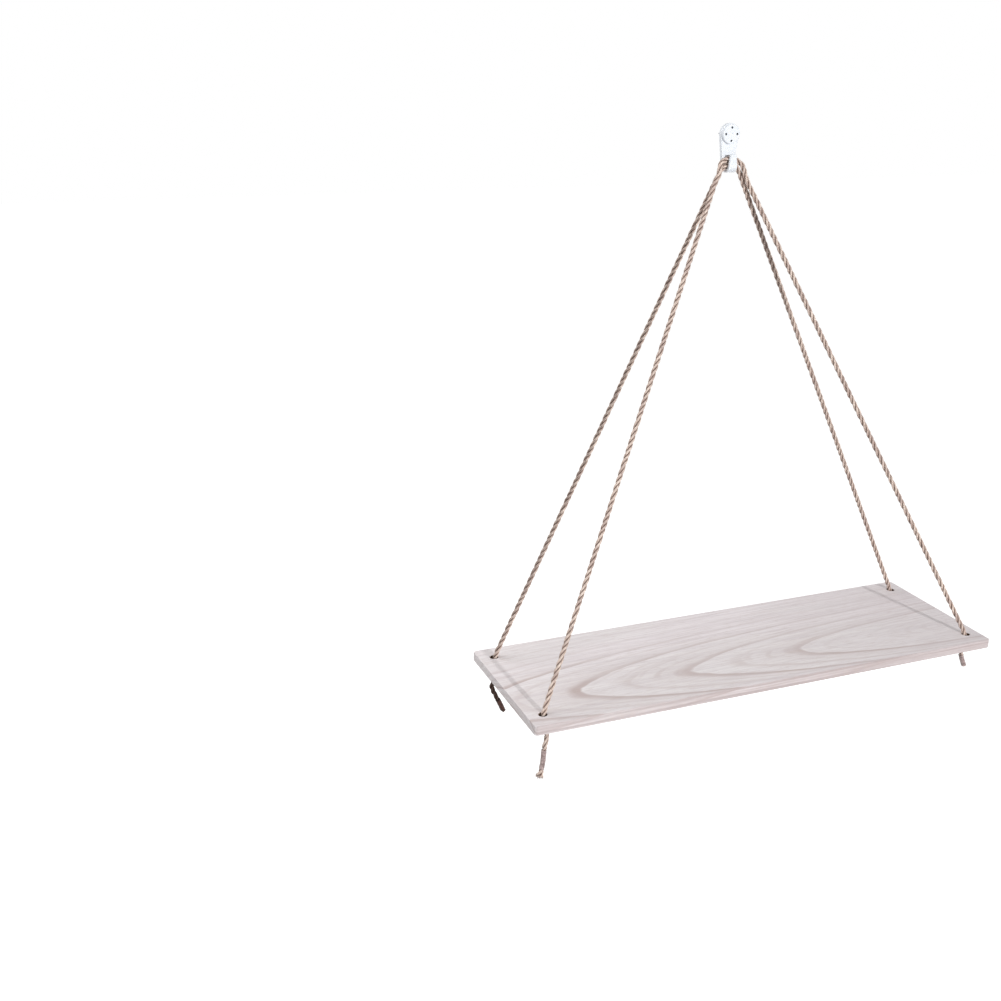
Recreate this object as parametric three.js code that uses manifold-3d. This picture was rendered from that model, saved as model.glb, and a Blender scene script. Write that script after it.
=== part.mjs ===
// Hanging rope shelf: a thin whitewashed board slung from one small white wall hook
// by two twisted ropes, each knotted under the board.
// Millimetres. +Z is up, X runs along the wall and the shelf faces -Y.
// The origin is the middle of the hook's back face, on the wall.

import * as THREE from 'three';
import { mergeVertices } from 'three/addons/utils/BufferGeometryUtils.js';
import Module from 'manifold-3d';

const wasm = await Module();
wasm.setup();

// Board
const boardLength = 430;
const boardDepth = 136;
const boardThick = 8;
const boardCorner = 3;
const boardEase = 0.8;
const holeDiameter = 7;
const holeEase = 0.4;
const holeFromEnd = 13;
const holeFromEdge = 16.5;
const holeGap = 0.9;

// Ropes, and the gap that touching pieces keep
const ropeDiameter = 4.2;
const ropeGap = 0.3;
const bightRadius = 9.7;
const hangHeight = 417.5;
const swingDrop = 38.5;
const rollShare = 0.72;
const rollStartShare = 0.15;
const rollEndShare = 0.65;
const legBend = 5;

// Knots, loose ends and their tape
const knotRopeShare = 0.88;
const tapedRopeShare = 0.66;
const tapeThick = 0.25;
const tapeTaper = 1.5;

// Hook
const headDiameter = 16.4;
const plateThick = 3.4;
const neckWidth = 13.4;
const neckDrop = 12.3;
const footWidth = 10.4;
const hookDrop = 29.3;
const throatWidth = 5.6;
const stripThick = 2.4;
const stripWidth = 7.6;
const tipWidth = 5.4;
const tipDrop = 15.1;
const hookEase = 0.5;

// Nail disc and nails
const discDiameter = 15.4;
const discThick = 2.6;
const discRim = 0.8;
const discSeat = 0.1;
const dimpleDiameter = 1.6;
const dimpleDepth = 0.5;
const nailCircle = 10.2;
const nailDiameter = 1.3;
const nailHole = 1.9;
const nailSink = 0.8;
const nailReach = 6;
const nailPoint = 1.8;
const nailBevel = 0.15;

// How far every cut runs past the face that it goes through
const overrun = 1;

// Places worked out from the sizes above
const boardTop = -hangHeight;
const boardBottom = boardTop - boardThick;
const holeX = boardLength / 2 - holeFromEnd;
const frontHoleY = holeFromEdge - boardDepth;
const backHoleY = -holeFromEdge;
const ropeRadius = ropeDiameter / 2;
const knotRope = ropeDiameter * knotRopeShare;
const tapedRadius = ropeRadius * tapedRopeShare;
const ropeLean = (holeDiameter - ropeDiameter) / 2 - holeGap;
const bightY = -(plateThick + throatWidth / 2);
const troughZ = stripThick - hookDrop;
const jawZ = troughZ + throatWidth / 2;
const troughEdge = (footWidth + stripWidth) / 4 - hookEase;
const bightReach = bightRadius - ropeRadius - ropeGap;
const bightZ = troughZ - Math.sqrt(bightReach ** 2 - troughEdge ** 2);

const finishes = {
  wood: new THREE.MeshStandardMaterial({ color: 0xd8d2d2, roughness: 0.7, metalness: 0 }),
  rope: new THREE.MeshStandardMaterial({ color: 0xb99f8c, roughness: 0.95, metalness: 0 }),
  tape: new THREE.MeshStandardMaterial({ color: 0xa89c9c, roughness: 0.45, metalness: 0 }),
  plastic: new THREE.MeshStandardMaterial({ color: 0xf3f4f6, roughness: 0.35, metalness: 0 }),
  steel: new THREE.MeshStandardMaterial({ color: 0x55565a, roughness: 0.35, metalness: 1 }),
};

const shelf = new THREE.Group();

function addPart(name, geometry, finish) {
  const mesh = new THREE.Mesh(geometry, finishes[finish].clone());
  mesh.name = name;
  shelf.add(mesh);
}

// Solids

function toSolid(geometry) {
  const bare = geometry.clone();
  bare.deleteAttribute('normal');
  bare.deleteAttribute('uv');
  const merged = mergeVertices(bare);
  const vertProperties = new Float32Array(merged.attributes.position.array);
  const triVerts = new Uint32Array(merged.index.array);
  return new wasm.Manifold(new wasm.Mesh({ numProp: 3, vertProperties, triVerts }));
}

function toGeometry(solid) {
  const mesh = solid.getMesh();
  const geometry = new THREE.BufferGeometry();
  geometry.setAttribute('position', new THREE.BufferAttribute(mesh.vertProperties, 3));
  geometry.setIndex(new THREE.BufferAttribute(mesh.triVerts, 1));
  geometry.computeVertexNormals();
  return geometry;
}

// A closed skin over a row of rings, each with the same number of points. The rings turn
// counterclockwise when they are seen from the row's far end.
function skin(rings) {
  const sides = rings[0].length;
  const last = (rings.length - 1) * sides;
  const index = [];
  for (let row = 0; row < last; row += sides) {
    for (let k = 0; k < sides; k += 1) {
      const a = row + k;
      const b = row + ((k + 1) % sides);
      index.push(a, b, b + sides, a, b + sides, a + sides);
    }
  }
  for (let k = 1; k + 1 < sides; k += 1) {
    index.push(0, k + 1, k);
    index.push(last, last + k, last + k + 1);
  }
  const geometry = new THREE.BufferGeometry().setFromPoints(rings.flat());
  geometry.setIndex(index);
  geometry.computeVertexNormals();
  return geometry;
}

// A round tube along a row of points, with a radius for each point. Its section is carried
// along the row without twisting.
function tube(points, radii, sides) {
  let normal = new THREE.Vector3(0, 1, 0);
  return skin(points.map((point, i) => {
    const before = points[Math.max(i - 1, 0)];
    const after = points[Math.min(i + 1, points.length - 1)];
    const along = after.clone().sub(before).normalize();
    normal = normal.clone().addScaledVector(along, -along.dot(normal)).normalize();
    const across = along.clone().cross(normal);
    return Array.from({ length: sides }, (_, k) => {
      const angle = (2 * Math.PI * k) / sides;
      const spot = point.clone().addScaledVector(normal, radii[i] * Math.cos(angle));
      return spot.addScaledVector(across, radii[i] * Math.sin(angle));
    });
  }));
}

// A flat piece cut to an outline, its edges eased on both faces.
function slab(outline, thick, ease, curveSegments) {
  const geometry = new THREE.ExtrudeGeometry(outline, {
    depth: thick - 2 * ease,
    bevelThickness: ease,
    bevelSize: ease,
    bevelOffset: -ease,
    bevelSegments: 2,
    curveSegments,
  });
  return geometry.translate(0, 0, ease);
}

// A piece turned about Y, from pairs of a radius and a place along Y.
function turned(profile, segments) {
  return new THREE.LatheGeometry(profile.map(([r, y]) => new THREE.Vector2(r, y)), segments);
}

// Board

function boardOutline() {
  const x = boardLength / 2 - boardCorner;
  const back = -boardCorner;
  const front = boardCorner - boardDepth;
  const outline = new THREE.Shape();
  outline.absarc(x, front, boardCorner, -Math.PI / 2, 0, false);
  outline.absarc(x, back, boardCorner, 0, Math.PI / 2, false);
  outline.absarc(-x, back, boardCorner, Math.PI / 2, Math.PI, false);
  outline.absarc(-x, front, boardCorner, Math.PI, (3 * Math.PI) / 2, false);
  return outline;
}

// The cut for one hole, which opens out a little at both faces.
function holeCutter(x, y) {
  const r = holeDiameter / 2;
  const wide = r + holeEase + overrun;
  const profile = [
    [0, -overrun], [wide, -overrun], [r, holeEase],
    [r, boardThick - holeEase], [wide, boardThick + overrun], [0, boardThick + overrun],
  ];
  return toSolid(turned(profile, 20).rotateX(Math.PI / 2).translate(x, y, boardBottom));
}

function makeBoard() {
  const blank = slab(boardOutline(), boardThick, boardEase, 6).translate(0, 0, boardBottom);
  let board = toSolid(blank);
  for (const x of [-holeX, holeX]) {
    for (const y of [frontHoleY, backHoleY]) {
      board = board.subtract(holeCutter(x, y));
    }
  }
  addPart('board', toGeometry(board), 'wood');
}

// Hook

function plateOutline() {
  const r = headDiameter / 2;
  const neck = new THREE.Vector2(neckWidth / 2, -neckDrop);
  const tangent = Math.atan2(neck.y, neck.x) + Math.acos(r / neck.length());
  const outline = new THREE.Shape();
  outline.absarc(0, 0, r, tangent, Math.PI - tangent, false);
  outline.lineTo(-neckWidth / 2, -neckDrop);
  outline.lineTo(-footWidth / 2, jawZ);
  outline.lineTo(footWidth / 2, jawZ);
  outline.lineTo(neckWidth / 2, -neckDrop);
  return outline;
}

// One ring of the hook's strip, a rectangle with its corners eased. Its outer side faces
// away from the throat.
function stripRing(y, z, outward, width, thick) {
  const w = width / 2;
  const t = thick / 2;
  const e = Math.min(hookEase, t / 2);
  const corners = [
    [-w, t - e], [e - w, t], [w - e, t], [w, t - e],
    [w, e - t], [w - e, -t], [e - w, -t], [-w, e - t],
  ];
  return corners.map(([across, out]) => {
    const ring = new THREE.Vector3(across, y, z);
    return ring.addScaledVector(outward, out);
  });
}

// The strip leaves the plate at its full thickness, thins as it turns forward under the
// throat in a half circle, and rises to a narrower rounded tip.
function stripGeometry() {
  const back = new THREE.Vector3(0, 1, 0);
  const front = new THREE.Vector3(0, -1, 0);
  const rings = [stripRing(-plateThick / 2, -neckDrop, back, stripWidth, stripThick)];
  const turns = 14;
  for (let k = 0; k <= turns; k += 1) {
    const angle = (Math.PI * k) / turns;
    const outward = new THREE.Vector3(0, Math.cos(angle), -Math.sin(angle));
    const thinning = Math.sin(Math.min(angle, Math.PI / 2));
    const thick = THREE.MathUtils.lerp(plateThick, stripThick, thinning);
    const width = THREE.MathUtils.lerp(footWidth, stripWidth, k / turns);
    const reach = (throatWidth + thick) / 2;
    rings.push(stripRing(bightY + reach * outward.y, jawZ + reach * outward.z, outward, width, thick));
  }
  const tipY = bightY - (throatWidth + stripThick) / 2;
  const tipSteps = 5;
  for (let k = 0; k <= tipSteps; k += 1) {
    const angle = (Math.PI / 2) * (k / tipSteps);
    const z = -tipDrop - stripThick * (1 - Math.sin(angle)) / 2;
    const width = tipWidth - stripThick * (1 - Math.cos(angle)) / 2;
    rings.push(stripRing(tipY, z, front, width, stripThick * (1 + Math.cos(angle)) / 2));
  }
  return skin(rings);
}

// The four places on the nail circle, from the top one round.
function nailPlaces() {
  const r = nailCircle / 2;
  return [
    { name: 'top', x: 0, z: r }, { name: 'right', x: r, z: 0 },
    { name: 'bottom', x: 0, z: -r }, { name: 'left', x: -r, z: 0 },
  ];
}

function boreForNails(solid) {
  const depth = plateThick + discThick + 2 * overrun;
  let bored = solid;
  for (const { x, z } of nailPlaces()) {
    const drill = new THREE.CylinderGeometry(nailHole / 2, nailHole / 2, depth, 14);
    bored = bored.subtract(toSolid(drill.translate(x, overrun - depth / 2, z)));
  }
  return bored;
}

function makeHook() {
  const plate = slab(plateOutline(), plateThick, hookEase, 40).rotateX(Math.PI / 2);
  const body = toSolid(plate).add(toSolid(stripGeometry()));
  addPart('hook_body', toGeometry(boreForNails(body)), 'plastic');
}

// The disc seats on the head, with a rounded rim and a small dimple in its middle.
function makeNailDisc() {
  const r = discDiameter / 2;
  const face = -plateThick - discThick;
  const profile = [[0, face]];
  const rimSteps = 5;
  for (let k = 0; k <= rimSteps; k += 1) {
    const angle = (Math.PI / 2) * (k / rimSteps);
    profile.push([r - discRim * (1 - Math.sin(angle)), face + discRim * (1 - Math.cos(angle))]);
  }
  profile.push([r, -plateThick - discSeat], [0, -plateThick - discSeat]);
  const dimple = new THREE.SphereGeometry(dimpleDiameter / 2, 14, 8);
  dimple.scale(1, (2 * dimpleDepth) / dimpleDiameter, 1).translate(0, face, 0);
  const disc = boreForNails(toSolid(turned(profile, 64))).subtract(toSolid(dimple));
  addPart('nail_disc', toGeometry(disc), 'plastic');
}

function makeNails() {
  const r = nailDiameter / 2;
  const head = nailSink - plateThick - discThick;
  const profile = [
    [0, head], [r - nailBevel, head], [r, head + nailBevel],
    [r, nailReach - nailPoint], [0, nailReach],
  ];
  for (const { name, x, z } of nailPlaces()) {
    addPart(`nail_${name}`, turned(profile, 12).translate(x, 0, z), 'steel');
  }
}

// Rope routes

// Where a leg comes down to the board: in its hole, leaning towards the hook.
function footOf(side, holeY) {
  const toHook = new THREE.Vector2(-side * holeX, bightY - holeY).setLength(ropeLean);
  return new THREE.Vector3(side * holeX + toHook.x, holeY + toHook.y, boardTop);
}

// The back rope's route over the hook, on its right half: an arc about the middle of the
// sideways swing, then straight on towards the hole, at a lean from upright. Runs are
// measured along it from its top, to the end of the arc and to the joint with the leg.
function bightRoute() {
  const foot = footOf(1, backHoleY);
  const reach = new THREE.Vector2(foot.x, bightZ - foot.z);
  const lean = Math.atan2(reach.x, reach.y) - Math.asin(bightRadius / reach.length());
  const arcRun = bightRadius * (Math.PI / 2 - lean);
  const leaveZ = bightZ + bightRadius * Math.sin(lean);
  return { lean, arcRun, jointRun: arcRun + (leaveZ + swingDrop) / Math.cos(lean) };
}

// A place on a rope that lies an offset away from the back rope: over it in the hook, and
// rolled round to its front by the joint.
function bightPlace(route, run, offset) {
  const { lean, arcRun, jointRun } = route;
  const angle = Math.min(run, arcRun) / bightRadius;
  const straight = Math.max(run - arcRun, 0);
  const way = THREE.MathUtils.smoothstep(run / jointRun, rollStartShare, rollEndShare);
  const roll = (Math.PI / 2) * rollShare * way;
  const out = new THREE.Vector3(Math.sin(angle), 0, Math.cos(angle));
  const down = new THREE.Vector3(Math.sin(lean), 0, -Math.cos(lean));
  const place = new THREE.Vector3(0, bightY, bightZ).addScaledVector(down, straight);
  place.addScaledVector(out, bightRadius + offset * Math.cos(roll));
  return place.setY(bightY - offset * Math.sin(roll));
}

// The points of a rope over the hook, from its left end to its right end. Each end stops
// just short of the round end of its leg.
function bightPoints(route, offset) {
  const runs = spaced(0, route.jointRun - ropeRadius - ropeGap, 12);
  const right = runs.map((run) => bightPlace(route, run, offset));
  const left = right.slice(1).reverse().map((place) => place.clone().setX(-place.x));
  return [...left, ...right];
}

// The rings of a leg's round end, from its crown, as shares of a quarter turn.
const roundEndShares = [0.96, 0.74, 0.5, 0.25];

// A leg: a round end at the swing's axis, a straight run, and a soft bend into the hole.
function legGeometry(joint, foot) {
  const down = foot.clone().sub(joint).normalize();
  const points = [];
  const radii = [];
  for (const share of roundEndShares) {
    const angle = (Math.PI / 2) * share;
    points.push(joint.clone().addScaledVector(down, -ropeRadius * Math.sin(angle)));
    radii.push(ropeRadius * Math.cos(angle));
  }
  const bendStart = foot.clone().addScaledVector(down, -legBend);
  const bendEnd = foot.clone().setZ(foot.z - legBend);
  const runSteps = 5;
  for (let k = 0; k < runSteps; k += 1) {
    points.push(joint.clone().lerp(bendStart, k / runSteps));
  }
  points.push(...new THREE.QuadraticBezierCurve3(bendStart, foot, bendEnd).getPoints(6));
  points.push(foot.clone().setZ(boardBottom));
  while (radii.length < points.length) radii.push(ropeRadius);
  return tube(points, radii, 10);
}

// An overhand knot drawn up against the board, from the foot of its leg, as shares of the
// knotted rope's diameter: down, out and round below, once round against the board, and back
// down through the middle.
const knotShares = [
  [0, 0, 0], [0, -0.02, -0.4], [0.15, -0.15, -0.9], [0.5, 0.08, -1.44],
  [0.61, 0.68, -1.78], [0.3, 1.32, -1.92], [-0.28, 1.72, -1.71], [-0.86, 1.71, -1.24],
  [-1.19, 1.28, -0.78], [-1.22, 0.62, -0.55], [-1.12, -0.08, -0.53], [-0.83, -0.75, -0.53],
  [-0.24, -1.15, -0.53], [0.46, -1.17, -0.53], [1.04, -0.75, -0.53], [1.22, -0.06, -0.53],
  [0.95, 0.57, -0.54], [0.37, 0.92, -0.74], [-0.22, 0.8, -1.1], [-0.5, 0.5, -1.66],
  [-0.34, 0.22, -2.16], [-0.22, 0.08, -2.5], [-0.2, 0.06, -2.7], [-0.2, 0.06, -3],
];

function knotPoints(foot, corner) {
  const turn = THREE.MathUtils.degToRad(corner.knotTurn);
  const upright = new THREE.Vector3(0, 0, 1);
  const start = foot.clone().setZ(boardBottom - ropeGap);
  const marks = knotShares.map(([x, y, z]) => {
    const aside = corner.exitShare * THREE.MathUtils.smoothstep(-z, 1.95, 2.7);
    const mark = new THREE.Vector3(corner.knotWay * (x - aside), y, z).multiplyScalar(knotRope);
    return mark.applyAxisAngle(upright, turn).add(start);
  });
  return new THREE.CatmullRomCurve3(marks, false, 'centripetal').getSpacedPoints(46);
}

// Each corner of the board: which way round its knot is tied (-1 is the mirrored knot), how far
// it is turned and how far aside the rope leaves it, the points of its loose end from the knot
// down, as shares of the rope's diameter, which share of that end the tape covers, from and to,
// and how wide the strands open at the tip, as a share of the rope's width.
const corners = [
  {
    side: -1, row: 'front', hand: 'left', knotWay: -1, knotTurn: -12, exitShare: 0.7,
    tapeShares: [0.36, 0.86], tuftShare: 1.3,
    tailShares: [
      [0, 0, 0], [-0.01, 0, -0.3], [-0.11, 0, -0.8], [-0.27, 0.01, -1.6], [-0.42, 0.02, -2.6],
      [-0.53, 0.02, -3.9], [-0.67, 0, -5.4], [-0.89, -0.03, -6.7], [-1.24, -0.05, -8],
    ],
  },
  {
    side: 1, row: 'front', hand: 'right', knotWay: 1, knotTurn: -22, exitShare: 0,
    tapeShares: [0.2, 0.94], tuftShare: 0.8,
    tailShares: [
      [0, 0, 0], [0.08, 0, -0.4], [0.3, 0, -0.9], [0.58, -0.04, -1.6], [0.9, -0.08, -2.3],
      [1.14, -0.1, -2.85],
    ],
  },
  {
    side: -1, row: 'back', hand: 'left', knotWay: 1, knotTurn: 76, exitShare: 0,
    tapeShares: [0.62, 0.93], tuftShare: 0.9,
    tailShares: [
      [0, 0, 0], [-0.06, 0, -0.4], [-0.3, 0.04, -1], [-0.5, 0.06, -1.7], [-0.3, 0.06, -2.6],
      [0.2, 0.04, -3.7], [0.84, 0.02, -5], [1.5, -0.02, -6.4], [2.11, -0.04, -7.75],
    ],
  },
  {
    side: 1, row: 'back', hand: 'right', knotWay: 1, knotTurn: 140, exitShare: 0,
    tapeShares: [0.55, 0.92], tuftShare: 1,
    tailShares: [
      [0, 0, 0], [0.02, 0, -0.5], [0.1, 0.06, -1.2], [0.06, 0.12, -2.1], [-0.24, 0.18, -3.2],
      [-0.7, 0.16, -4.5], [-1.2, 0.1, -5.8],
    ],
  },
];

// The route of a loose end, from just below the knot.
function tailCurve(tailShares, knotEnd) {
  const start = knotEnd.clone().setZ(knotEnd.z - ropeGap);
  const marks = tailShares.map((share) => new THREE.Vector3(...share).multiplyScalar(ropeDiameter).add(start));
  return new THREE.CatmullRomCurve3(marks, false, 'centripetal');
}

// Places along a curve from one run to another, both ends included.
function spaced(from, to, steps) {
  return Array.from({ length: steps + 1 }, (_, k) => from + ((to - from) * k) / steps);
}

function alongCurve(curve, runs) {
  const length = curve.getLength();
  return runs.map((run) => curve.getPointAt(THREE.MathUtils.clamp(run / length, 0, 1)));
}

// The loose end starts square to the knot, is drawn in where the tape holds it, and its
// strands open below the tape.
function tailGeometry(curve, tapeStart, tapeEnd, tipRadius) {
  const bare = [0, ...spaced(ropeRadius / 2, tapeStart - tapeTaper, 4)];
  const taped = spaced(tapeStart, tapeEnd, 6);
  const radii = [...bare.map(() => ropeRadius), ...taped.map(() => tapedRadius), tipRadius];
  return tube(alongCurve(curve, [...bare, ...taped, curve.getLength()]), radii, 10);
}

function tapeGeometry(curve, tapeStart, tapeEnd) {
  const inner = tapedRadius + ropeGap;
  const points = alongCurve(curve, spaced(tapeStart, tapeEnd, 6));
  const first = points[0].clone().sub(points[1]).setLength(overrun).add(points[0]);
  const end = points.at(-1).clone().sub(points.at(-2)).setLength(overrun).add(points.at(-1));
  const bore = [first, ...points, end];
  const outside = toSolid(tube(points, points.map(() => inner + tapeThick), 12));
  return toGeometry(outside.subtract(toSolid(tube(bore, bore.map(() => inner), 12))));
}

function makeTail(corner, knotEnd) {
  const curve = tailCurve(corner.tailShares, knotEnd);
  const [tapeStart, tapeEnd] = corner.tapeShares.map((share) => share * curve.getLength());
  const tail = tailGeometry(curve, tapeStart, tapeEnd, ropeRadius * corner.tuftShare);
  addPart(`tail_${corner.row}_${corner.hand}`, tail, 'rope');
  addPart(`tape_${corner.row}_${corner.hand}`, tapeGeometry(curve, tapeStart, tapeEnd), 'tape');
}

// One corner's leg, knot and loose end.
function makeCorner(corner, holeY, rightJoint) {
  const foot = footOf(corner.side, holeY);
  const joint = rightJoint.clone().setX(corner.side * rightJoint.x);
  addPart(`leg_${corner.row}_${corner.hand}`, legGeometry(joint, foot), 'rope');
  const knot = knotPoints(foot, corner);
  const knotGeometry = tube(knot, knot.map(() => knotRope / 2), 8);
  addPart(`knot_${corner.row}_${corner.hand}`, knotGeometry, 'rope');
  makeTail(corner, knot.at(-1));
}

function makeRope(row, holeY, offset) {
  const route = bightRoute();
  const points = bightPoints(route, offset);
  addPart(`bight_${row}`, tube(points, points.map(() => ropeRadius), 10), 'rope');
  const joint = bightPlace(route, route.jointRun, offset);
  for (const corner of corners.filter((each) => each.row === row)) {
    makeCorner(corner, holeY, joint);
  }
}

makeBoard();
makeHook();
makeNailDisc();
makeNails();
makeRope('back', backHoleY, 0);
makeRope('front', frontHoleY, ropeDiameter + ropeGap);

export default shelf;
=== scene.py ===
import math

import bpy
import numpy as np
from mathutils import Matrix, Vector


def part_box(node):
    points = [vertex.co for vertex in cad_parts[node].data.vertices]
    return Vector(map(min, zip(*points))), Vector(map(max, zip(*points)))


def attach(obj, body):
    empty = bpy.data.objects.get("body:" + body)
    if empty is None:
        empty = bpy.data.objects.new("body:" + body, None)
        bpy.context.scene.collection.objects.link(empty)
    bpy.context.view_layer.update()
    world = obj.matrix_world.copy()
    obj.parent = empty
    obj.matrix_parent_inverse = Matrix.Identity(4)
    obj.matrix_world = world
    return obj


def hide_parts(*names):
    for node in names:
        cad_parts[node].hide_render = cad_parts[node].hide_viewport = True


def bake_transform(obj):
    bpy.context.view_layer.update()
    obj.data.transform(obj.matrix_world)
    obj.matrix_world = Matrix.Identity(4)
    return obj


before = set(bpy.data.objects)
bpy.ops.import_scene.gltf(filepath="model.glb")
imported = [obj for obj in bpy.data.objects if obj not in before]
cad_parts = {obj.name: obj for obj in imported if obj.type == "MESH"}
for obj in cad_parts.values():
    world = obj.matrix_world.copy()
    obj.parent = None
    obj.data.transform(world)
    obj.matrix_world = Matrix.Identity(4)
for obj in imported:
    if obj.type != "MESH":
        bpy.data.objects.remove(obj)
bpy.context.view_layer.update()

# Hanging rope shelf: a whitewashed board slung by two twisted ropes from a small wall hook.
# Metres, +Z up, the wall at y = 0 and the shelf in front of it, towards -Y.

cameraLook = {
    "place": (-0.5426, -0.8864, 0.0542),
    "yaw": 21.64,  # degrees from +Y towards +X
    "pitch": 19.6,  # downwards
    "roll": 0.54,
    "lens": 44.595,  # millimetres
    "sensor": 36,
    "clip": (0.01, 50),
}


def setCamera(look):
    # the view axes: turned by yaw and pitch, then rolled about the line of sight
    yaw, pitch, roll = (math.radians(look[key]) for key in ("yaw", "pitch", "roll"))
    level = Vector((math.cos(yaw), -math.sin(yaw), 0))
    ahead = Vector((
        math.sin(yaw) * math.cos(pitch), math.cos(yaw) * math.cos(pitch), -math.sin(pitch),
    ))
    upright = level.cross(ahead)
    right = level * math.cos(roll) + upright * math.sin(roll)
    up = upright * math.cos(roll) - level * math.sin(roll)
    camera = bpy.data.objects.new("camera", bpy.data.cameras.new("camera"))
    camera.data.lens = look["lens"]
    camera.data.sensor_width = look["sensor"]
    camera.data.clip_start, camera.data.clip_end = look["clip"]
    bpy.context.collection.objects.link(camera)
    turn = Matrix((right, up, -ahead)).transposed().to_4x4()
    camera.matrix_world = Matrix.Translation(look["place"]) @ turn
    bpy.context.scene.camera = camera


setCamera(cameraLook)
print("camera set")

rope = {
    "radius": 0.0021,
    "gap": 0.0003,  # between the two ropes, and above and below a knot
    "lay": 0.0194,  # one turn of a strand
    "strandShare": 0.5,  # a strand's own radius, as a share of the rope's
    "strandColumns": 16,
    "strandShift": 0.013,  # between strands in the UV map, so that no two look alike
    "step": 0.00075,
    "bendReach": 0.0016,  # how softly the route turns its corners
    "unevenness": 0.035,
    "swellReach": 0.031,
    "twistSlip": 0.0017,  # how far the twist runs ahead or behind
    "twistReach": 0.052,
    "startTurn": 0.3,
    "seed": 21,
}

bight = {
    "y": -0.0062,  # the back rope's place in the hook
    "z": -0.0330066,  # the middle of its arc
    "radius": 0.0097,
    "points": 90,
    "swingDrop": 0.0385,  # the joint with the legs, below the frame's origin
    "rollShare": 0.72,  # the front rope rolls from above the back one to almost beside it
    "rollStart": 0.15,
    "rollEnd": 0.65,
}

boardLow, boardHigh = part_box("board")
holeInset = {"x": 0.013, "y": 0.0165}

board = {
    "top": boardHigh.z,
    "bottom": boardLow.z,
    "holeX": boardHigh.x - holeInset["x"],
    "holeY": {"back": boardHigh.y - holeInset["y"], "front": boardLow.y + holeInset["y"]},
    "ropeLean": 0.0005,  # how far a leg meets the hole off its middle
    "legBend": 0.005,  # how far above and below the top the leg's bend starts and ends
    "bendPoints": 12,
}


def unit(vectors):
    # the same directions, each of length 1
    return vectors / np.linalg.norm(vectors, axis=-1, keepdims=True)


def runsOf(points):
    # the distance run along a row of points, from its first
    steps = np.linalg.norm(np.diff(points, axis=0), axis=1)
    return np.concatenate([[0], np.cumsum(steps)])


def evenly(points, step):
    # the same row of points, set out again at an even distance
    runs = runsOf(points)
    marks = np.linspace(0, runs[-1], max(int(round(runs[-1] / step)), 2) + 1)
    return np.stack([np.interp(marks, runs, points[:, axis]) for axis in range(3)], axis=1)


def eased(points, reach):
    # each point becomes a bell-weighted mean of its neighbours, out to 2.5 times the reach,
    # and both ends stay
    step = runsOf(points)[1]
    half = max(int(round(2.5 * reach / step)), 1)
    weights = np.exp(-0.5 * (np.arange(-half, half + 1) * step / reach) ** 2)
    weights /= weights.sum()
    before = 2 * points[0] - points[half:0:-1]
    after = 2 * points[-1] - points[-2:-half - 2:-1]
    padded = np.concatenate([before, points, after])
    return np.stack([np.convolve(padded[:, axis], weights, "valid") for axis in range(3)], axis=1)


def smoothCurve(marks, step, spanPoints=40):
    # a centripetal Catmull-Rom curve through the marks, in Hermite form for all spans at once
    marks = np.asarray(marks, float)
    full = np.concatenate([[2 * marks[0] - marks[1]], marks, [2 * marks[-1] - marks[-2]]])
    knots = np.sqrt(np.linalg.norm(np.diff(full, axis=0), axis=1))[:, None]
    before, span, after = knots[:-2], knots[1:-1], knots[2:]
    a, b, c, d = full[:-3], full[1:-2], full[2:-1], full[3:]
    leave = ((b - a) / before - (c - a) / (before + span) + (c - b) / span) * span
    reach = ((c - b) / span - (d - b) / (span + after) + (d - c) / after) * span
    t = np.linspace(0, 1, spanPoints, endpoint=False)[None, :, None]
    b, c, leave, reach = (each[:, None, :] for each in (b, c, leave, reach))
    curve = (
        (2 * t**3 - 3 * t**2 + 1) * b
        + (t**3 - 2 * t**2 + t) * leave
        + (3 * t**2 - 2 * t**3) * c
        + (t**3 - t**2) * reach
    )
    return evenly(np.concatenate([curve.reshape(-1, 3), marks[-1:]]), step)


def footOf(side, row):
    # where a leg meets the board's top: in its hole, leaning a little towards the hook
    hole = np.array([side * board["holeX"], board["holeY"][row]])
    toHook = np.array([-side * board["holeX"], bight["y"] - board["holeY"][row]])
    return np.append(hole + unit(toHook) * board["ropeLean"], board["top"])


def bightRight(offset):
    # the right half of a rope over the hook, from its top to the joint with the leg: a circle's
    # arc, then straight on to the back right hole. The offset is how far out the rope lies, and
    # it rolls from upwards to forwards along the way
    foot = footOf(1, "back")
    across, down = foot[0], bight["z"] - foot[2]
    lean = math.atan2(across, down) - math.asin(bight["radius"] / math.hypot(across, down))
    arcRun = bight["radius"] * (math.pi / 2 - lean)
    leaveZ = bight["z"] + bight["radius"] * math.sin(lean)
    jointRun = arcRun + (leaveZ + bight["swingDrop"]) / math.cos(lean)
    run = np.linspace(0, jointRun, bight["points"])
    angle = np.minimum(run, arcRun) / bight["radius"]
    straight = np.maximum(run - arcRun, 0)
    rollSpan = bight["rollEnd"] - bight["rollStart"]
    way = np.clip((run / jointRun - bight["rollStart"]) / rollSpan, 0, 1)
    roll = math.pi / 2 * bight["rollShare"] * way**2 * (3 - 2 * way)
    out = bight["radius"] + offset * np.cos(roll)
    x = out * np.sin(angle) + straight * math.sin(lean)
    z = bight["z"] + out * np.cos(angle) - straight * math.cos(lean)
    return np.stack([x, bight["y"] - offset * np.sin(roll), z], axis=1)


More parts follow.
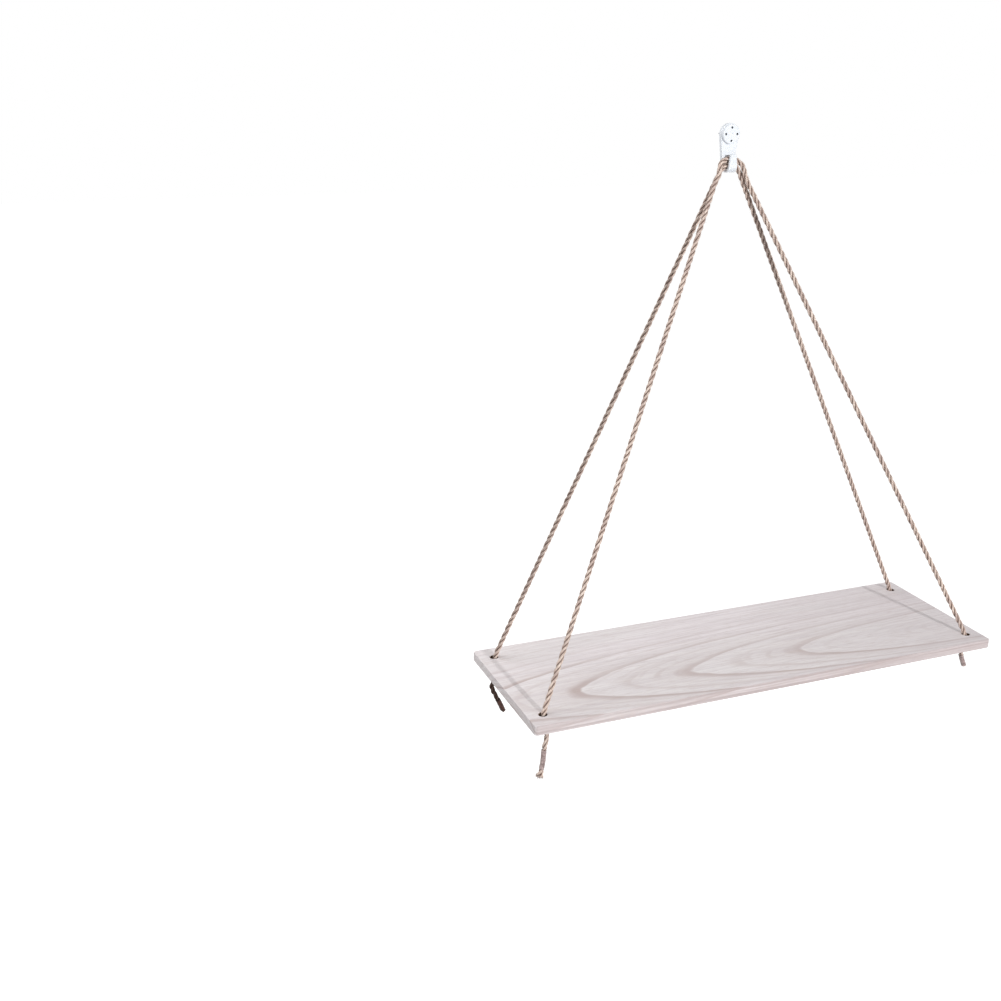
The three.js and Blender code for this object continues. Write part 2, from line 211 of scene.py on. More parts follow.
def ropeRoute(row):
    # from the left hole's lower mouth, up over the hook and down to the right one's
    offset = 0 if row == "back" else 2 * rope["radius"] + rope["gap"]
    over = bightRight(offset)
    foot = footOf(1, row)
    down = unit(foot - over[-1])
    t = np.linspace(0, 1, board["bendPoints"])[:, None]
    bendStart = foot - down * board["legBend"]
    bendEnd = foot - [0, 0, board["legBend"]]
    bend = (1 - t) ** 2 * bendStart + 2 * t * (1 - t) * foot + t**2 * bendEnd
    mouth = [foot[0], foot[1], board["bottom"]]
    right = np.concatenate([over, bend, [mouth]])
    left = right[:0:-1] * [-1, 1, 1]
    return eased(evenly(np.concatenate([left, right]), rope["step"]), rope["bendReach"])


knotShares = [  # an overhand knot from above to below, in rope widths from the hole's mouth
    [0, 0, 0], [0, -0.02, -0.4], [0.15, -0.15, -0.9], [0.5, 0.08, -1.44],
    [0.61, 0.68, -1.78], [0.3, 1.32, -1.92], [-0.28, 1.72, -1.71], [-0.86, 1.71, -1.24],
    [-1.19, 1.28, -0.78], [-1.22, 0.62, -0.55], [-1.12, -0.08, -0.53], [-0.83, -0.75, -0.53],
    [-0.24, -1.15, -0.53], [0.46, -1.17, -0.53], [1.04, -0.75, -0.53], [1.22, -0.06, -0.53],
    [0.95, 0.57, -0.54], [0.37, 0.92, -0.74], [-0.22, 0.8, -1.1], [-0.5, 0.5, -1.66],
    [-0.34, 0.22, -2.16], [-0.22, 0.08, -2.5], [-0.2, 0.06, -2.7], [-0.2, 0.06, -3],
]

# side and row name the hole. knotWay -1 mirrors the knot, knotTurn turns it by degrees and exit
# moves its way out aside by rope widths. The tape lies between two shares of the loose end's run.
# tip is the cut end's width as a share of the rope's, and fray scales its fibres. The tail's
# marks are in rope widths from the end of the knot
corners = {
    "front_left": {
        "side": -1, "row": "front", "knotWay": -1, "knotTurn": -12, "exit": 0.7,
        "tape": (0.35, 0.83), "tip": 1.5, "fray": 1.35,
        "tail": [
            [0, 0, 0], [-0.01, 0, -0.3], [-0.11, 0, -0.8], [-0.27, 0.01, -1.6], [-0.42, 0.02, -2.6],
            [-0.53, 0.02, -3.9], [-0.67, 0, -5.4], [-0.89, -0.03, -6.7], [-1.24, -0.05, -8],
        ],
    },
    "front_right": {
        "side": 1, "row": "front", "knotWay": 1, "knotTurn": -22, "exit": 0,
        "tape": (0.05, 0.94), "tip": 0.85, "fray": 0.6,
        "tail": [
            [0, 0, 0], [0.08, 0, -0.4], [0.3, 0, -0.9], [0.58, -0.04, -1.6], [0.9, -0.08, -2.3],
            [1.14, -0.1, -2.85],
        ],
    },
    "back_left": {
        "side": -1, "row": "back", "knotWay": 1, "knotTurn": 76, "exit": 0,
        "tape": (0.62, 0.95), "tip": 0.9, "fray": 0.5,
        "tail": [
            [0, 0, 0], [-0.06, 0, -0.4], [-0.3, 0.04, -1], [-0.5, 0.06, -1.7], [-0.3, 0.06, -2.6],
            [0.2, 0.04, -3.7], [0.84, 0.02, -5], [1.5, -0.02, -6.4], [2.11, -0.04, -7.75],
        ],
    },
    "back_right": {
        "side": 1, "row": "back", "knotWay": 1, "knotTurn": 140, "exit": 0,
        "tape": (0.55, 0.92), "tip": 1, "fray": 1,
        "tail": [
            [0, 0, 0], [0.02, 0, -0.5], [0.1, 0.06, -1.2], [0.06, 0.12, -2.1], [-0.24, 0.18, -3.2],
            [-0.7, 0.16, -4.5], [-1.2, 0.1, -5.8],
        ],
    },
}

knotLook = {
    "ropeShare": 0.88,  # the rope is drawn tight in a knot
    "step": 0.0005,
    "exitFrom": 1.95,  # how deep, in rope widths, the end starts to move aside
    "exitOver": 0.75,
    "startTurn": 0,
    "seed": 31,
}

tailLook = {
    "tapedShare": 0.8,  # the rope is pressed together under the tape
    "step": 0.0005,
    "taper": 0.0015,
    "taperShare": 0.8,  # of what is bare above the tape, at most
    "startTurn": 0.6,
    "seed": 11,
}


def knotRoute(corner):
    # the knot's shares times the rope's width, mirrored and turned about the hole's axis
    size = 2 * rope["radius"] * knotLook["ropeShare"]
    turn = math.radians(corner["knotTurn"])
    x, y, z = np.array(knotShares).T * size
    start = footOf(corner["side"], corner["row"])
    start[2] = board["bottom"] - rope["gap"]
    way = np.clip((-z / size - knotLook["exitFrom"]) / knotLook["exitOver"], 0, 1)
    x = corner["knotWay"] * (x - corner["exit"] * size * way**2 * (3 - 2 * way))
    turnedX = x * math.cos(turn) - y * math.sin(turn)
    turnedY = x * math.sin(turn) + y * math.cos(turn)
    return smoothCurve(np.stack([turnedX, turnedY, z], axis=1) + start, knotLook["step"])


def tailRoute(corner, knotEnd):
    # a smooth curve through the tail's marks, from just below the knot
    start = knotEnd - [0, 0, rope["gap"]]
    return smoothCurve(np.array(corner["tail"]) * 2 * rope["radius"] + start, tailLook["step"])


def meshObject(name, points, faces, faceUv=None, smooth=True):
    # a piece from its points and faces, with a UV pair for each face corner where they are given
    mesh = bpy.data.meshes.new(name)
    mesh.from_pydata(points, [], faces)
    mesh.update()
    if faceUv is not None:
        layer = mesh.uv_layers.new(name="alongAround")
        layer.data.foreach_set("uv", np.asarray(faceUv, np.float32).ravel())
    mesh.polygons.foreach_set("use_smooth", np.full(len(mesh.polygons), smooth))
    piece = bpy.data.objects.new(name, mesh)
    bpy.context.collection.objects.link(piece)
    return piece


def carriedAxes(points):
    # two axes square to the path at each point, carried along it without twisting
    along = unit(np.gradient(points, axis=0))
    start = np.array([0, 1, 0]) if abs(along[0, 1]) < 0.8 else np.array([1, 0, 0])
    normals = np.empty_like(points)
    normal = start
    for i, direction in enumerate(along):
        normal = normal - direction * (direction @ normal)
        normal = normal / np.linalg.norm(normal)
        normals[i] = normal
    return along, normals, np.cross(along, normals)


def waver(run, seed, reach):
    # a smooth uneven line between -1 and 1: the sum of four sines of unlike lengths
    rng = np.random.default_rng(seed)
    lengths = reach * np.array([1, 0.61, 0.37, 0.23])
    phases = rng.uniform(0, 2 * math.pi, 4)
    return (np.sin(run[..., None] * 2 * math.pi / lengths + phases) * [0.4, 0.3, 0.2, 0.1]).sum(-1)


def gridFaces(rings, columns):
    # quads between neighbouring rings of points, closed round
    ring = np.arange(rings - 1)[:, None] * columns
    nextRing = ring + columns
    here = np.arange(columns)[None, :]
    there = (here + 1) % columns
    quads = np.stack([ring + here, ring + there, nextRing + there, nextRing + here], axis=-1)
    return quads.reshape(-1, 4)


def twistedRope(name, path, radii, look):
    # three round strands, each an arc of its own circle, turned together along the path
    _, normal, across = carriedAxes(path)
    run = runsOf(path)
    seed = look["seed"]
    count = rope["strandColumns"]
    small = rope["strandShare"]
    off = 1 - small
    groove = off / 2 + math.sqrt(small**2 - 0.75 * off**2)
    reach = math.atan2(groove * math.sqrt(0.75), groove / 2 - off)
    arc = np.linspace(-reach, reach, count, endpoint=False)
    strand = np.arange(3)
    centre = strand[:, None] * 2 * math.pi / 3
    swell = np.stack([waver(run, seed + k, rope["swellReach"]) for k in strand], axis=1)
    swell = 1 + rope["unevenness"] * swell
    lump = (1 + np.cos(arc)) / 2
    size = np.asarray(radii)[:, None, None] * (1 + (swell[:, :, None] - 1) * lump)
    slipped = run + rope["twistSlip"] * waver(run, seed + 7, rope["twistReach"])
    turn = look["startTurn"] + 2 * math.pi * slipped[:, None, None] / rope["lay"]
    x = off * np.cos(centre + turn) + small * np.cos(centre + turn + arc)
    y = off * np.sin(centre + turn) + small * np.sin(centre + turn + arc)
    sideways = (size * x)[..., None] * normal[:, None, None]
    points = path[:, None, None] + sideways + (size * y)[..., None] * across[:, None, None]
    rings, columns = len(path), 3 * count
    points = points.reshape(-1, 3)
    quads = gridFaces(rings, columns)
    # a yarn is twisted against its strand, so its fibres run about level with the rope:
    # v is the way round the strand plus the share of the run that undoes the strand's turn
    arcs = np.linspace(-reach, reach, count + 1)
    undone = 2 * math.pi * slipped[:, None, None] / rope["lay"]
    v = rope["radius"] * (small * arcs[None, None, :] + undone)
    v = np.broadcast_to(v, (rings, 3, count + 1)) + rope["strandShift"] * strand[None, :, None]
    u = np.broadcast_to(run[:, None, None], v.shape)
    uv = np.stack([u, v], axis=-1)
    quadUv = np.stack([uv[:-1, :, :-1], uv[:-1, :, 1:], uv[1:, :, 1:], uv[1:, :, :-1]], axis=3)
    # both ends close on a point in the middle
    last = (rings - 1) * columns
    here = np.arange(columns)
    there = (here + 1) % columns
    first = np.full(columns, len(points))
    ends = [np.stack([first, there, here], axis=1)]
    ends.append(np.stack([first + 1, last + here, last + there], axis=1))
    ends = np.concatenate(ends)
    points = np.concatenate([points, path[:1], path[-1:]])
    faceUv = np.concatenate([quadUv.reshape(-1, 2), np.zeros((ends.size, 2))])
    piece = meshObject(name, points.tolist(), quads.tolist() + ends.tolist(), faceUv)
    # 0 on the crown of a strand, 1 in the groove beside it and in between on the two ends; the
    # rope's colour paints shade by it
    depth = np.append(np.tile(np.abs(arc) / reach, 3 * rings), [0.6, 0.6])
    layer = piece.data.attributes.new("groove", "FLOAT", "POINT")
    layer.data.foreach_set("value", depth.astype(np.float32))
    return piece


def fibres(name, roots, bends, tips, thick):
    # thin loose fibres: each a three-sided tube along a bent line, which tapers to its tip
    t = np.array([0, 0.35, 0.7, 1])[None, :, None]
    toBend = (1 - t) ** 2 * roots[:, None] + 2 * t * (1 - t) * bends[:, None]
    line = toBend + t**2 * tips[:, None]
    along = unit(tips - roots)
    helper = np.where(np.abs(along[:, 1:2]) < 0.8, [[0.0, 1, 0]], [[1.0, 0, 0]])
    normal = unit(np.cross(along, helper))
    across = np.cross(along, normal)
    width = thick * np.array([1, 0.85, 0.6, 0.2])[None, :, None, None]
    angle = np.arange(3) * 2 * math.pi / 3
    cosine, sine = np.cos(angle)[None, :, None], np.sin(angle)[None, :, None]
    ring = cosine * normal[:, None] + sine * across[:, None]
    points = line[:, :, None] + width * ring[:, None]
    quads = gridFaces(4, 3)
    ends = [[0, 2, 1], [9, 10, 11]]
    faces = []
    for first in range(0, 12 * len(roots), 12):
        faces += (quads + first).tolist() + [[first + k for k in end] for end in ends]
    return meshObject(name, points.reshape(-1, 3).tolist(), faces)


fuzzLook = {
    "spacing": 0.0012,
    "shortest": 0.0012,
    "longest": 0.0034,
    "rootShare": 0.75,  # of the rope's radius
    "thick": 0.000032,
    "seed": 51,
}


def fuzzAlong(name, path, look):
    # fibres that stand out of a rope's side, most of them lying along it
    rng = np.random.default_rng(look["seed"])
    along, normal, across = carriedAxes(path)
    count = int(runsOf(path)[-1] / look["spacing"])
    index = rng.integers(2, len(path) - 2, count)
    angle = rng.uniform(0, 2 * math.pi, (count, 1))
    out = np.cos(angle) * normal[index] + np.sin(angle) * across[index]
    lie = rng.choice([-1, 1], (count, 1)) * along[index]
    side = np.cross(out, along[index]) * rng.uniform(-0.5, 0.5, (count, 1))
    length = rng.uniform(look["shortest"], look["longest"], (count, 1))
    roots = path[index] + out * rope["radius"] * look["rootShare"]
    bends = roots + (0.45 * out + 0.4 * lie + 0.4 * side) * length
    tips = roots + (rng.uniform(0.3, 0.75, (count, 1)) * out + 0.95 * lie + side) * length
    return fibres(name, roots, bends, tips, look["thick"])


frayLook = {
    "count": 220,
    "shortest": 0.0014,
    "longest": 0.0027,
    "spread": 0.7,
    "depth": 0.0012,  # how far inside the cut end the fibres start
    "rootShare": 0.8,  # of the cut end's radius
    "thick": 0.0001,
    "seed": 41,
}


def frayedEnd(name, path, radius, size, look):
    # the cut end of a rope: fibres that leave its last millimetre and spread a little
    rng = np.random.default_rng(look["seed"])
    count = look["count"]
    along, normal, across = (axes[-1] for axes in carriedAxes(path))
    angle = rng.uniform(0, 2 * math.pi, (count, 1))
    share = np.sqrt(rng.uniform(0, 0.9, (count, 1)))
    out = np.cos(angle) * normal + np.sin(angle) * across
    roots = path[-1] - along * look["depth"] + out * share * radius * look["rootShare"]
    length = rng.uniform(look["shortest"], look["longest"], (count, 1)) * size
    spread = rng.uniform(0.1, look["spread"] * size, (count, 1)) * share
    bends = roots + (along + 0.4 * spread * out) * length * 0.6
    tips = roots + (along + spread * out) * length
    return fibres(name, roots, bends, tips, look["thick"])


tails = {}
for name, corner in corners.items():
    knotPath = knotRoute(corner)
    path = tailRoute(corner, knotPath[-1])
    run = runsOf(path)
    start, end = (share * run[-1] for share in corner["tape"])
    taper = min(tailLook["taper"], tailLook["taperShare"] * start)
    marks = [0, start - taper, start, end, run[-1]]
    shares = [1, 1, tailLook["tapedShare"], tailLook["tapedShare"], corner["tip"]]
    radii = rope["radius"] * np.interp(run, marks, shares)
    tails[name] = {
        "knot": knotPath, "path": path, "run": run, "tape": (start, end), "radii": radii,
        "piece": twistedRope(f"loose_end_{name}", path, radii, tailLook),
    }
print("loose ends made")

tapeLook = {
    "thick": 0.00025,
    "gap": 0.00012,  # between the tape and the rope inside it
    "rings": 46,
    "columns": 40,
    "crinkle": 0.00011,
    "foldReach": 0.0031,
    "foldStretch": 0.6,  # below 1 the folds are longer along the rope
    "foldLean": 0.0021,
    "strandFolds": 0.7,  # the folds that follow the three strands
    "strandTurn": 6.283,  # radians to one lay of the rope
    "lapHeight": 0.8,  # of the tape's thickness
    "lapShift": 0.4,  # turns the last lap round the rope
    "lapEdge": 14,  # how sharply it rises
    "seed": 5,
}


def makeTape(name, tail, look):
    # a sleeve along the rope: the inner skin is a plain tube, and the outer one's radius is even
    # but for small folds and the last lap, which steps up half way round
    start, end = tail["tape"]
    path = tail["path"]
    runs = np.linspace(start, end, look["rings"])
    middle = np.stack([np.interp(runs, tail["run"], path[:, axis]) for axis in range(3)], axis=1)
    _, normal, across = carriedAxes(middle)
    columns = look["columns"]
    angle = np.linspace(0, 2 * math.pi, columns, endpoint=False)[None, :]
    inner = rope["radius"] * tailLook["tapedShare"] + look["gap"]
    crease = runs[:, None] * look["foldStretch"] + look["foldLean"] * np.sin(angle)
    folds = waver(crease, look["seed"], look["foldReach"])
    strandTurn = look["strandTurn"] * runs[:, None] / rope["lay"]
    folds = folds + look["strandFolds"] * np.cos(3 * angle + strandTurn)
    pastLap = np.mod(angle + look["lapShift"], 2 * math.pi) - math.pi
    lap = look["thick"] * look["lapHeight"] / (1 + np.exp(-pastLap * look["lapEdge"]))
    outer = inner + look["thick"] + look["crinkle"] * folds + lap
    # down along the outer skin and back up along the inner one
    skins = []
    for radius, way in ((outer, 1), (np.full_like(outer, inner), -1)):
        skin = middle[::way, None] + (radius * np.cos(angle))[..., None] * normal[::way, None]
        skins.append(skin + (radius * np.sin(angle))[..., None] * across[::way, None])
    points = np.concatenate(skins)
    count = len(points)
    ring = np.arange(count)[:, None] * columns
    nextRing = ((np.arange(count) + 1) % count)[:, None] * columns
    here = np.arange(columns)[None, :]
    there = (here + 1) % columns
    quads = np.stack([ring + here, ring + there, nextRing + there, nextRing + here], axis=-1)
    quads = quads.reshape(-1, 4)
    return meshObject(f"tape_wrap_{name}", points.reshape(-1, 3).tolist(), quads.tolist())


for name, tail in tails.items():
    size = corners[name]["fray"]
    tail["wrap"] = makeTape(name, tail, tapeLook)
    tail["fray"] = frayedEnd(
        f"frayed_end_{name}", tail["path"], tail["radii"][-1], size, frayLook,
    )
    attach(tail["piece"], "hanging_shelf")
    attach(tail["wrap"], "hanging_shelf")
    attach(tail["fray"], "hanging_shelf")
    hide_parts(f"tail_{name}")
    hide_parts(f"tape_{name}")
print("tape and frayed ends made")

ropes = {}
for row in ("back", "front"):
    path = ropeRoute(row)
    piece = twistedRope(f"rope_{row}", path, np.full(len(path), rope["radius"]), rope)
    fuzz = fuzzAlong(f"fuzz_{row}", path, fuzzLook)
    for each in (piece, fuzz):
        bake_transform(each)
    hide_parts(f"bight_{row}", f"leg_{row}_left", f"leg_{row}_right")
    ropes[row] = {"piece": piece, "fuzz": fuzz}

for name, tail in tails.items():
    path = tail["knot"]
    radii = np.full(len(path), rope["radius"] * knotLook["ropeShare"])
    knot = twistedRope(f"overhand_{name}", path, radii, knotLook)
    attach(knot, "hanging_shelf")
    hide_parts(f"knot_{name}")
    tail["knotPiece"] = knot
print("ropes and knots made")


class NodeDesk:
    # short calls that add a node, set its inputs and return its output
    def __init__(self, name):
        self.material = bpy.data.materials.new(name)
        self.material.use_nodes = True
        self.tree = self.material.node_tree
        self.tree.nodes.clear()

    def add(self, kind, inputs=(), output=0, **settings):
        node = self.tree.nodes.new(kind)
        for key, value in settings.items():
            setattr(node, key, value)
        pairs = inputs.items() if isinstance(inputs, dict) else enumerate(inputs)
        for key, value in pairs:
            if isinstance(value, bpy.types.NodeSocket):
                self.tree.links.new(value, node.inputs[key])
            else:
                node.inputs[key].default_value = value
        return node.outputs[output]

    def math(self, operation, *values, clamp=False):
        return self.add("ShaderNodeMath", values, operation=operation, use_clamp=clamp)

    def place(self):
        return self.add("ShaderNodeTexCoord", output=3)  # the Object coordinates

    def parts(self, vector):
        node = self.tree.nodes.new("ShaderNodeSeparateXYZ")
        self.tree.links.new(vector, node.inputs[0])
        return node.outputs

    def hypotenuse(self, first, second):
        squares = [self.math("MULTIPLY", side, side) for side in (first, second)]
        return self.math("SQRT", self.math("ADD", *squares))

    def between(self, value, low, high, newLow=0.0, newHigh=1.0, kind="SMOOTHSTEP"):
        inputs = {
            "Value": value, "From Min": low, "From Max": high, "To Min": newLow, "To Max": newHigh,
        }
        return self.add("ShaderNodeMapRange", inputs, interpolation_type=kind)

    def mix(self, share, first, second):
        node = self.tree.nodes.new("ShaderNodeMix")
        node.data_type = "RGBA"
        for key, value in ((0, share), (6, first), (7, second)):
            if isinstance(value, bpy.types.NodeSocket):
                self.tree.links.new(value, node.inputs[key])
            elif key == 0:
                node.inputs[key].default_value = value
            else:
                node.inputs[key].default_value = tint(value)
        return node.outputs[2]

    def noise(self, vector, scale=1, detail=2, roughness=0.5):
        inputs = {"Vector": vector, "Scale": scale, "Detail": detail, "Roughness": roughness}
        return self.add("ShaderNodeTexNoise", inputs)

    def stretched(self, vector, scale, shift=(0, 0, 0)):
        return self.add("ShaderNodeMapping", {"Vector": vector, "Scale": scale, "Location": shift})

    def bump(self, height, distance, strength):
        inputs = {"Strength": strength, "Distance": distance, "Height": height}
        return self.add("ShaderNodeBump", inputs)

    def finish(self, **sockets):
        # the Principled shader, its sockets named with an underscore for each space
        shader = self.tree.nodes.new("ShaderNodeBsdfPrincipled")
        for key, value in sockets.items():
            socket = shader.inputs[key.replace("_", " ")]
            if isinstance(value, bpy.types.NodeSocket):
                self.tree.links.new(value, socket)
            elif socket.type == "RGBA":
                socket.default_value = tint(value)
            else:
                socket.default_value = value
        out = self.tree.nodes.new("ShaderNodeOutputMaterial")
        self.tree.links.new(shader.outputs[0], out.inputs[0])
        return self.material


def tint(rgb):
    # a screen colour, 0 to 255, as the linear colour that a socket takes
    share = np.array(rgb) / 255
    linear = np.where(share <= 0.04045, share / 12.92, ((share + 0.055) / 1.055) ** 2.4)
    return (*linear, 1)


wood = {
    "heartY": -0.0968,  # the middle of the tree, across the board
    "heartDepth": 0.0334,  # how far off it is at the middle of the board
    "heartSlope": 0.112,  # how much nearer it comes for each metre to the right
    "ringWidth": 0.0112,
    "ringStart": 0.028,  # from the heart, where the rings begin to show
    "squash": 0.88,  # the rings are wider across the board than deep
    "sway": 0.004,
    "quiver": 0.0022,
    "fade": 0.27,  # how strong each of the next marks is, from 0 to 1
    "line": 0.85,
    "thin": 0.28,
    "band": 0.22,
    "streak": 0.36,
    "pore": 0.42,
    "offHeart": 0.25,  # the share of the rings that is left away from the heart
    "thinCount": 5,
    "rightEnd": 0.22,  # how much greyer and darker the board turns towards the right end
    "pale": (237, 232, 232),
    "rosy": (240, 233, 235),
    "late": (194, 177, 173),
    "fibre": (206, 196, 199),
    "edge": (179, 165, 164),  # the front edge: a thinner wash, and painted shade
    "bare": (92, 66, 48),  # the drilled walls: bare wood below the wash, painted dark as shade deep in the holes
    "drill": 0.0037,  # from a hole's middle, a little past its wall
    "washDepth": 0.0003,
}


def woodMaterial(look):
    desk = NodeDesk("whitewashedWood")
    place = desk.place()
    # the grain sways over a hand's width and quivers over a finger's
    moved = place
    for scale, reach in (((3, 14, 14), look["sway"]), ((18, 46, 46), look["quiver"])):
        swayed = {"Vector": desk.stretched(place, scale), "Scale": 1}
        bend = desk.add("ShaderNodeTexNoise", swayed, output=1)
        bend = desk.add("ShaderNodeVectorMath", [bend, (0.5, 0.5, 0.5)], operation="SUBTRACT")
        bend = desk.add("ShaderNodeVectorMath", [bend, (reach, reach, reach)], operation="MULTIPLY")
        moved = desk.add("ShaderNodeVectorMath", [moved, bend], operation="ADD")
    x, y, z = desk.parts(moved)
    # the distance from the heart of the tree, which slopes towards the board's right end
    across = desk.math("MULTIPLY", desk.math("SUBTRACT", y, look["heartY"]), look["squash"])
    fall = desk.math("MULTIPLY_ADD", x, -look["heartSlope"], look["heartDepth"])
    lift = desk.math("SUBTRACT", z, board["top"])
    radius = desk.hypotenuse(across, desk.math("ADD", fall, lift))
    rings = desk.math("DIVIDE", desk.math("SUBTRACT", radius, look["ringStart"]), look["ringWidth"])
    year = desk.math("FLOOR", rings)
    way = desk.math("FRACT", rings)
    yearNoise = desk.add("ShaderNodeTexWhiteNoise", {"W": year}, noise_dimensions="1D")
    strong = desk.between(yearNoise, 0, 1, 0.75, 1.0, "LINEAR")
    # the rings nearest the heart are too pale to see under the wash
    outside = desk.between(radius, look["ringStart"] - 0.003, look["ringStart"], 0.1, 1)
    strong = desk.math("MULTIPLY", strong, outside)
    # each year starts with a brown line that fades slowly outwards, and has a fainter one later
    line = desk.math("MULTIPLY", desk.between(way, 0, 0.03), desk.between(way, 0.05, 0.2, 1, 0))
    ends = desk.between(way, 0.62, 0.76, 0.6, 0)
    second = desk.math("MULTIPLY", desk.between(way, 0.57, 0.61), ends)
    dapple = desk.noise(desk.stretched(place, (6, 30, 30)), detail=3)
    dapple = desk.between(dapple, 0.3, 0.7, 0.4, 1.1)
    line = desk.math("MULTIPLY", desk.math("ADD", line, second), dapple)
    fade = desk.between(way, 0.05, 0.8, look["fade"], 0)
    ringTone = desk.math("ADD", fade, desk.math("MULTIPLY", line, look["line"]))
    ringTone = desk.math("MULTIPLY", ringTone, strong, clamp=True)
    # the rings are strong round the heart and faint where they run straight
    offHeart = desk.math("ABSOLUTE", across)
    spread = desk.between(offHeart, 0.024, 0.066, 1, look["offHeart"])
    ringTone = desk.math("MULTIPLY", ringTone, spread)
    # fainter lines, several to a year, broken up along their length
    turns = look["thinCount"] * 2 * math.pi / look["ringWidth"]
    thin = desk.math("SINE", desk.math("MULTIPLY", radius, turns))
    thin = desk.between(thin, 0.1, 1.0, 0, look["thin"])
    broken = desk.noise(desk.stretched(moved, (12, 60, 60), (0.7, 0, 0)), detail=3, roughness=0.6)
    thin = desk.math("MULTIPLY", thin, desk.between(broken, 0.42, 0.66))
    ringTone = desk.math("ADD", ringTone, thin)
    # fibres: long thin streaks along the board
    streak = desk.noise(desk.stretched(moved, (14, 700, 700)), detail=4, roughness=0.62)
    band = desk.stretched(moved, (7, 190, 190), (0.2, 0.1, 0))
    band = desk.between(desk.noise(band, detail=3, roughness=0.6), 0.4, 0.66, 0, look["band"])
    pores = desk.noise(desk.stretched(moved, (90, 1150, 1150)), detail=3, roughness=0.7)
    pores = desk.between(pores, 0.53, 0.68)
    # the bare white turns a little rosy in clouds, least of all near the heart
    cloud = desk.noise(desk.stretched(place, (5, 16, 16), (0.4, 0.2, 0)), detail=3)
    cloud = desk.between(cloud, 0.3, 0.62)
    blush = desk.math("MULTIPLY", cloud, desk.between(offHeart, 0.02, 0.05, 0.3, 1))
    colour = desk.mix(blush, look["pale"], look["rosy"])
    colour = desk.mix(ringTone, colour, look["late"])
    colour = desk.mix(band, colour, look["fibre"])
    fine = desk.between(streak, 0.42, 0.64, 0, look["streak"])
    colour = desk.mix(fine, colour, look["fibre"])
    colour = desk.mix(desk.math("MULTIPLY", pores, look["pore"]), colour, look["late"])
    plainX, plainY, plainZ = desk.parts(place)
    # the colour turns a little greyer and darker towards the right end
    greyerRight = desk.between(plainX, 0, boardHigh.x, 0, look["rightEnd"])
    colour = desk.mix(greyerRight, colour, look["fibre"])
    # the front edge is worn in thin layers, and painted shade darkens the whole face, most of all
    # towards the right
    layers = desk.stretched(moved, (5, 0, 620), (0, 0.3, 0))
    layers = desk.between(desk.noise(layers, detail=3, roughness=0.6), 0.36, 0.62, 0.32, 0.8)
    wornAndShaded = desk.math("ADD", layers, desk.between(plainX, -0.2, 0.2, 0, 0.25))
    edge = desk.between(plainY, boardLow.y + 0.0002, boardLow.y + 0.0012, 1, 0)
    edge = desk.math("MULTIPLY", edge, wornAndShaded, clamp=True)
    colour = desk.mix(edge, colour, look["edge"])
    # the holes: the board is alike on both sides of its middle, left to right and front to back
    middleY = (board["holeY"]["back"] + board["holeY"]["front"]) / 2
    besideX = desk.math("SUBTRACT", desk.math("ABSOLUTE", plainX), board["holeX"])
    besideY = desk.math("ABSOLUTE", desk.math("SUBTRACT", plainY, middleY))
    besideY = desk.math("SUBTRACT", besideY, board["holeY"]["back"] - middleY)
    drilled = desk.math("LESS_THAN", desk.hypotenuse(besideX, besideY), look["drill"])
    # painted shade: the drilled walls are bare wood, drawn dark as the shade deep inside the holes
    washed = board["top"] - look["washDepth"]
    deep = desk.between(plainZ, washed - look["washDepth"], washed, 1, 0)
    colour = desk.mix(desk.math("MULTIPLY", drilled, deep), colour, look["bare"])
    # fibres stand up, rings and pores lie deeper
    height = desk.math("MULTIPLY", streak, 0.6)
    height = desk.math("ADD", height, desk.math("MULTIPLY", ringTone, -0.4))
    height = desk.math("SUBTRACT", height, desk.math("MULTIPLY", pores, 0.5))
    return desk.finish(
        Base_Color=colour,
        Roughness=desk.between(streak, 0.3, 0.7, 0.62, 0.74, "LINEAR"),
        Normal=desk.bump(height, 0.00012, 0.5),
    )


ropeTones = {
    "cream": (241, 225, 213),
    "tan": (184, 156, 143),
    # brown and groove paint shade towards and into the grooves between strands; brown is also the
    # loose fibres' own brown
    "brown": (118, 91, 80),
    "groove": (76, 56, 49),
    "mauve": (170, 147, 142),  # in patches
    "inShade": (66, 44, 35),  # painted shade: most of the back left end, hanging under the board, and a trace in the back rope
}


def ropeMaterial(look, name, paintedShade):
    # the shade share, from 0 to 1, is painted shade: it darkens the fibres and takes their sheen
    desk = NodeDesk(name)
    uv = desk.add("ShaderNodeUVMap", uv_map="alongAround")
    place = desk.place()
    groove = desk.add("ShaderNodeAttribute", attribute_name="groove", output=2)
    hair = desk.noise(desk.stretched(uv, (240, 5200, 1)), detail=3, roughness=0.65)
    yarn = desk.noise(desk.stretched(uv, (80, 1500, 1)))
    patch = desk.noise(place, 90)
    tone = desk.math("ADD", desk.math("MULTIPLY", hair, 0.6), desk.math("MULTIPLY", yarn, 0.4))
    # painted shade: the fibres darken towards the groove between two strands, and most of all in it
    near = desk.math("ADD", groove, desk.math("MULTIPLY_ADD", tone, -0.9, 0.45))
    colour = desk.mix(desk.between(tone, 0.4, 0.58), look["tan"], look["cream"])
    colour = desk.mix(desk.between(patch, 0.42, 0.66, 0, 0.5), colour, look["mauve"])
    colour = desk.mix(desk.between(near, 0.35, 0.85, 0, 0.8), colour, look["brown"])
    colour = desk.mix(desk.between(near, 0.78, 1.05), colour, look["groove"])
    colour = desk.mix(paintedShade, colour, look["inShade"])
    height = desk.math("ADD", hair, desk.math("MULTIPLY", yarn, 0.8))
    return desk.finish(
        Base_Color=colour,
        Roughness=0.82,
        Normal=desk.bump(height, 0.0003, 0.9),
        Sheen_Weight=0.2 * (1 - paintedShade),
        Specular_IOR_Level=0.5 - 0.3 * paintedShade,
        Sheen_Roughness=0.5,
        Sheen_Tint=(255, 240, 220),
    )


